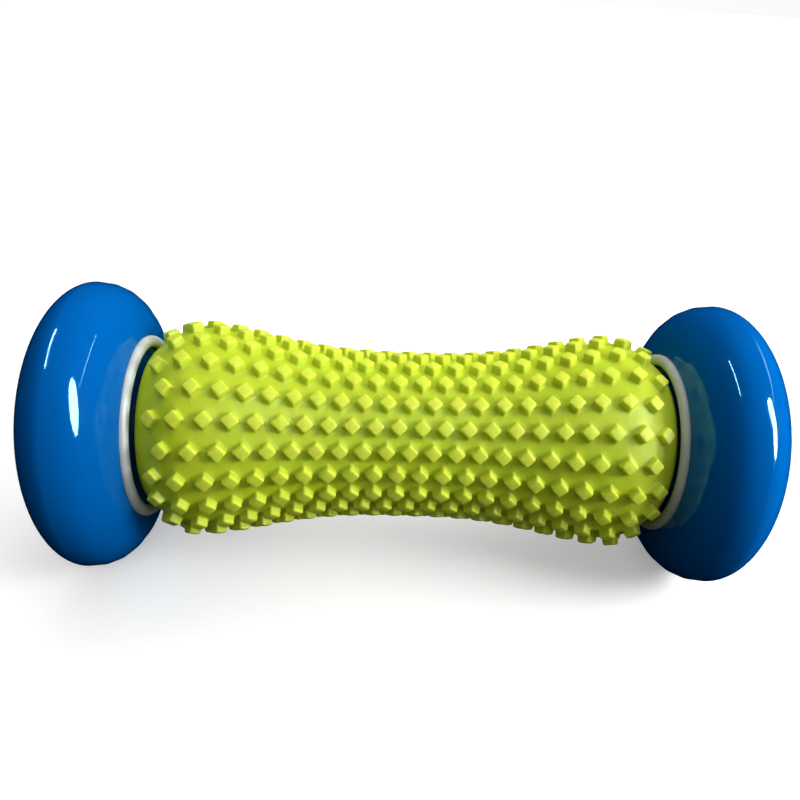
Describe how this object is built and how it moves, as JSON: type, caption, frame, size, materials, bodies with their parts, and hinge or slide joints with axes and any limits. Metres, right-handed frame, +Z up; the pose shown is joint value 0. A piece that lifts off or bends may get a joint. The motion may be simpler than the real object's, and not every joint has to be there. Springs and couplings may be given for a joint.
{
  "type": "foot massage roller",
  "caption": "Foot massage roller: a soft nubbed hourglass drum turning on an axle between two larger round-edged glossy wheels, each with a pale collar ring.",
  "frame": {"origin": "on the floor, below the middle of the roller; the axle is 40 mm above it", "axes": "+X along the axle towards the right wheel, +Z up, -Y towards the user"},
  "size_m": [0.1986, 0.08, 0.08],
  "materials": {
    "lime_pvc": "soft satin moulded PVC",
    "blue_abs": "high-gloss moulded ABS, saturated blue",
    "white_abs": "matte fine-grained moulded plastic, pale grey",
    "grey_abs": "matte moulded ABS, hidden",
    "acetal": "smooth natural acetal",
    "steel": "zinc-plated turned steel"
  },
  "bodies": {
    "axle_set": {"axle": "steel", "axle_screw_left": "steel", "axle_screw_right": "steel", "axle_washer_left": "steel", "axle_washer_right": "steel", "spacer_washer_left": "acetal", "spacer_washer_right": "acetal"},
    "drum": {"massage_sleeve": "lime_pvc", "core_half_left": "grey_abs", "core_half_right": "grey_abs", "core_end_cap_left": "grey_abs", "core_end_cap_right": "grey_abs", "drum_bush_left": "acetal", "drum_bush_right": "acetal"},
    "left_wheel": {"wheel_shell_left": "blue_abs", "wheel_cover_left": "blue_abs", "hub_cap_left": "blue_abs", "collar_ring_left": "white_abs", "wheel_bush_left": "acetal"},
    "right_wheel": {"wheel_shell_right": "blue_abs", "wheel_cover_right": "blue_abs", "hub_cap_right": "blue_abs", "collar_ring_right": "white_abs", "wheel_bush_right": "acetal"}
  },
  "joints": [
    {"name": "drum_spin", "type": "hinge", "parent": "axle_set", "child": "drum", "pos_m": [0, 0, 0.04], "axis": [1, 0, 0], "continuous": true},
    {"name": "left_wheel_spin", "type": "hinge", "parent": "axle_set", "child": "left_wheel", "pos_m": [-0.0865, 0, 0.04], "axis": [1, 0, 0], "continuous": true},
    {"name": "right_wheel_spin", "type": "hinge", "parent": "axle_set", "child": "right_wheel", "pos_m": [0.0865, 0, 0.04], "axis": [1, 0, 0], "continuous": true}
  ]
}
